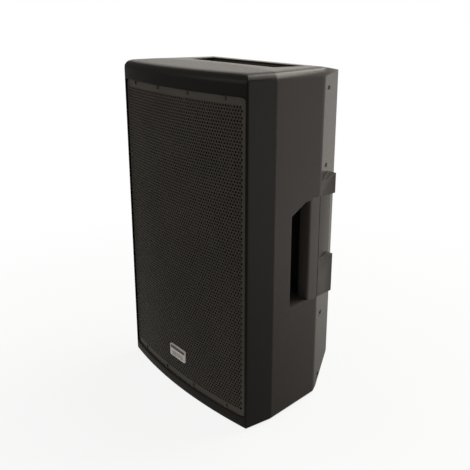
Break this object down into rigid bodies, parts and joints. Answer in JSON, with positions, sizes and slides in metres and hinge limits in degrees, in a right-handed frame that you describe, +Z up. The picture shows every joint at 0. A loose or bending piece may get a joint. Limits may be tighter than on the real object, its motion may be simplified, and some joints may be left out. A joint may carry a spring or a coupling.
{
  "type": "pa speaker cabinet",
  "caption": "Moulded loudspeaker cabinet with a bowed steel grille, woofer, horn, side and top grips, pole cup and a rear amplifier panel.",
  "frame": {"origin": "centre of the bounding box in plan, at the underside of the rubber feet", "axes": "+Z up; the grille faces -Y; +X is the cabinet's side on the right as seen from the front"},
  "size_m": [0.436, 0.32, 0.69],
  "materials": {
    "bezel_plastic": "fine leather-grain moulding",
    "shell_plastic": "fine leather-grain moulding",
    "grille_steel": "black powder coat, perforated in the visual model",
    "badge_metal": "brushed plate, left blank",
    "black_screws": "black oxide",
    "zinc_screws": "zinc plated",
    "port_plastic": "moulded",
    "foot_rubber": "matt",
    "wadding": "fluffy polyester",
    "basket_steel": "black satin",
    "gasket_foam": "matt foam",
    "surround_cloth": "treated pleated cloth",
    "cone_paper": "pressed black paper",
    "spider_cloth": "phenolic-dipped cloth",
    "coil_copper": "enamelled copper winding",
    "plate_steel": "zinc plated",
    "ferrite": "sintered ferrite",
    "tag_board": "phenolic board",
    "diaphragm_film": "thin formed film",
    "panel_metal": "textured black paint",
    "heatsink_metal": "black anodised fins",
    "cover_sheet": "galvanised sheet",
    "board_green": "solder mask",
    "capacitor_sleeve": "shrink sleeve",
    "transformer_winding": "taped copper winding",
    "socket_plastic": "moulded nylon",
    "fuse_glass": "glass tube with metal caps",
    "rocker_red": "moulded",
    "latch_steel": "nickel plated",
    "control_body": "plated can",
    "knob_plastic": "soft-touch moulding",
    "button_plastic": "moulded",
    "light_lens": "tinted lens",
    "wire_sleeve": "PVC sleeve"
  },
  "bodies": {
    "cabinet": {"front_bezel": "bezel_plastic", "rear_shell": "shell_plastic", "side_handle_right": "shell_plastic", "side_handle_left": "shell_plastic", "top_handle": "shell_plastic", "grille": "grille_steel", "badge": "badge_metal", "grille_screws": "black_screws", "panel_screws": "black_screws", "cabinet_screws": "zinc_screws", "pole_cup_screws": "zinc_screws", "woofer_screws": "zinc_screws", "horn_screws": "zinc_screws", "port_tubes": "port_plastic", "pole_cup": "port_plastic", "horn": "port_plastic", "hf_rear_cover": "port_plastic", "rubber_feet": "foot_rubber", "damping_wadding": "wadding", "woofer_basket": "basket_steel", "woofer_gasket": "gasket_foam", "woofer_top_plate": "plate_steel", "woofer_yoke": "plate_steel", "hf_front_plate": "plate_steel", "hf_bolts": "plate_steel", "woofer_magnet": "ferrite", "hf_magnet": "ferrite", "woofer_terminals": "tag_board", "amp_panel": "panel_metal", "heatsink": "heatsink_metal", "amp_cover": "cover_sheet", "amp_board": "board_green", "amp_capacitors": "capacitor_sleeve", "power_transformer": "transformer_winding", "mains_inlet": "socket_plastic", "rocker_frame": "socket_plastic", "combo_input_1": "socket_plastic", "combo_input_2": "socket_plastic", "potentiometers": "control_body", "lift_switch": "control_body", "status_lights": "light_lens", "speaker_wires": "wire_sleeve"},
    "moving_cone": {"woofer_cone": "cone_paper", "woofer_dust_cap": "cone_paper", "voice_coil": "coil_copper", "woofer_surround": "surround_cloth", "woofer_spider": "spider_cloth"},
    "hf_dome": {"hf_diaphragm": "diaphragm_film"},
    "level_knob_1": {"knob_level_1": "knob_plastic"},
    "level_knob_2": {"knob_level_2": "knob_plastic"},
    "treble_knob": {"knob_treble": "knob_plastic"},
    "bass_knob": {"knob_bass": "knob_plastic"},
    "rocker": {"power_rocker": "rocker_red"},
    "tab_1": {"latch_tab_1": "latch_steel"},
    "tab_2": {"latch_tab_2": "latch_steel"},
    "fuse_tray": {"fuse_drawer": "socket_plastic", "fuse": "fuse_glass"},
    "lift_key": {"lift_button": "button_plastic"}
  },
  "joints": [
    {"name": "woofer_travel", "type": "slide", "parent": "cabinet", "child": "moving_cone", "axis": [0, 1, 0], "range_m": [-0.006, 0.006], "stiffness_N_per_m": 5000, "deforming": ["woofer_surround", "woofer_spider"]},
    {"name": "hf_travel", "type": "slide", "parent": "cabinet", "child": "hf_dome", "axis": [0, 1, 0], "range_m": [-0.0003, 0.0003], "stiffness_N_per_m": 8000},
    {"name": "level_1_turn", "type": "hinge", "parent": "cabinet", "child": "level_knob_1", "pos_m": [-0.058, 0.146, 0.33], "axis": [0, 1, 0], "range_deg": [-150, 150]},
    {"name": "level_2_turn", "type": "hinge", "parent": "cabinet", "child": "level_knob_2", "pos_m": [-0.008, 0.146, 0.33], "axis": [0, 1, 0], "range_deg": [-150, 150]},
    {"name": "treble_turn", "type": "hinge", "parent": "cabinet", "child": "treble_knob", "pos_m": [-0.058, 0.146, 0.28], "axis": [0, 1, 0], "range_deg": [-150, 150]},
    {"name": "bass_turn", "type": "hinge", "parent": "cabinet", "child": "bass_knob", "pos_m": [-0.008, 0.146, 0.28], "axis": [0, 1, 0], "range_deg": [-150, 150]},
    {"name": "power_rock", "type": "hinge", "parent": "cabinet", "child": "rocker", "pos_m": [0.046, 0.141, 0.188], "axis": [1, 0, 0], "range_deg": [-16, 0]},
    {"name": "latch_1_press", "type": "slide", "parent": "cabinet", "child": "tab_1", "axis": [0, -1, 0], "range_m": [0, 0.0015], "stiffness_N_per_m": 800},
    {"name": "latch_2_press", "type": "slide", "parent": "cabinet", "child": "tab_2", "axis": [0, -1, 0], "range_m": [0, 0.0015], "stiffness_N_per_m": 800},
    {"name": "fuse_draw", "type": "slide", "parent": "cabinet", "child": "fuse_tray", "axis": [0, 1, 0], "range_m": [0, 0.018]},
    {"name": "lift_press", "type": "slide", "parent": "cabinet", "child": "lift_key", "axis": [0, -1, 0], "range_m": [0, 0.002], "stiffness_N_per_m": 500}
  ]
}
